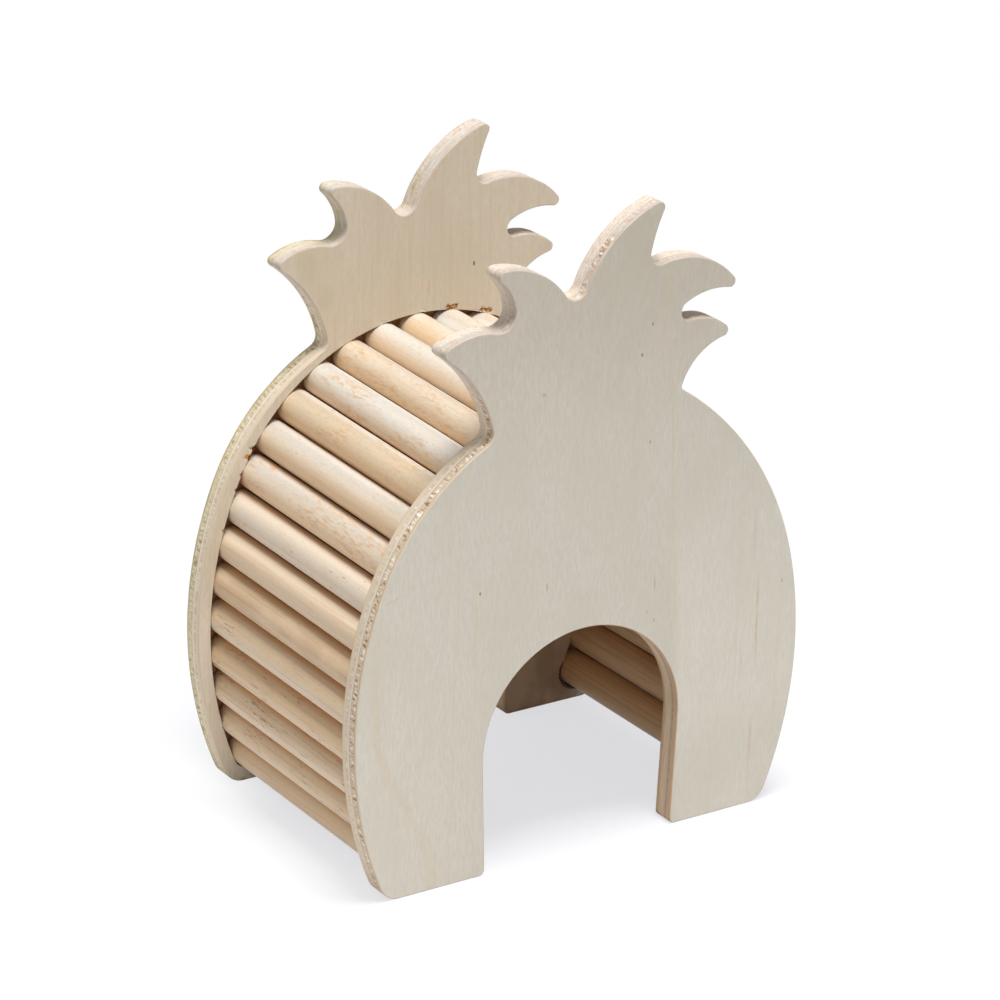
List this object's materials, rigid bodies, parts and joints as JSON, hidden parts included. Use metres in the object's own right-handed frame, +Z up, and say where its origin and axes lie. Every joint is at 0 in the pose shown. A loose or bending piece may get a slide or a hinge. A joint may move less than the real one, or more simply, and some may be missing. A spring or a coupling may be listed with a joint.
{
  "type": "hamster house",
  "caption": "Small pet hideout of two pineapple-shaped plywood end panels with an arched doorway in each, joined by a curved wall and roof of round wooden dowels.",
  "frame": {"origin": "on the floor under the middle of the house", "axes": "+Z up, X from left to right as seen from the front, +Y from the front doorway to the back doorway"},
  "size_m": [0.165, 0.105, 0.2097],
  "materials": {
    "plywood": "matte",
    "dowel_wood": "matte"
  },
  "bodies": {
    "root": {"front_panel": "plywood", "back_panel": "plywood", "dowel_01": "dowel_wood", "dowel_02": "dowel_wood", "dowel_03": "dowel_wood", "dowel_04": "dowel_wood", "dowel_05": "dowel_wood", "dowel_06": "dowel_wood", "dowel_07": "dowel_wood", "dowel_08": "dowel_wood", "dowel_09": "dowel_wood", "dowel_10": "dowel_wood", "dowel_11": "dowel_wood", "dowel_12": "dowel_wood", "dowel_13": "dowel_wood", "dowel_14": "dowel_wood", "dowel_15": "dowel_wood", "dowel_16": "dowel_wood", "dowel_17": "dowel_wood", "dowel_18": "dowel_wood", "dowel_19": "dowel_wood", "dowel_20": "dowel_wood", "dowel_21": "dowel_wood", "dowel_22": "dowel_wood", "dowel_23": "dowel_wood", "dowel_24": "dowel_wood", "dowel_25": "dowel_wood", "dowel_26": "dowel_wood", "dowel_27": "dowel_wood", "dowel_28": "dowel_wood", "dowel_29": "dowel_wood"}
  },
  "joints": []
}
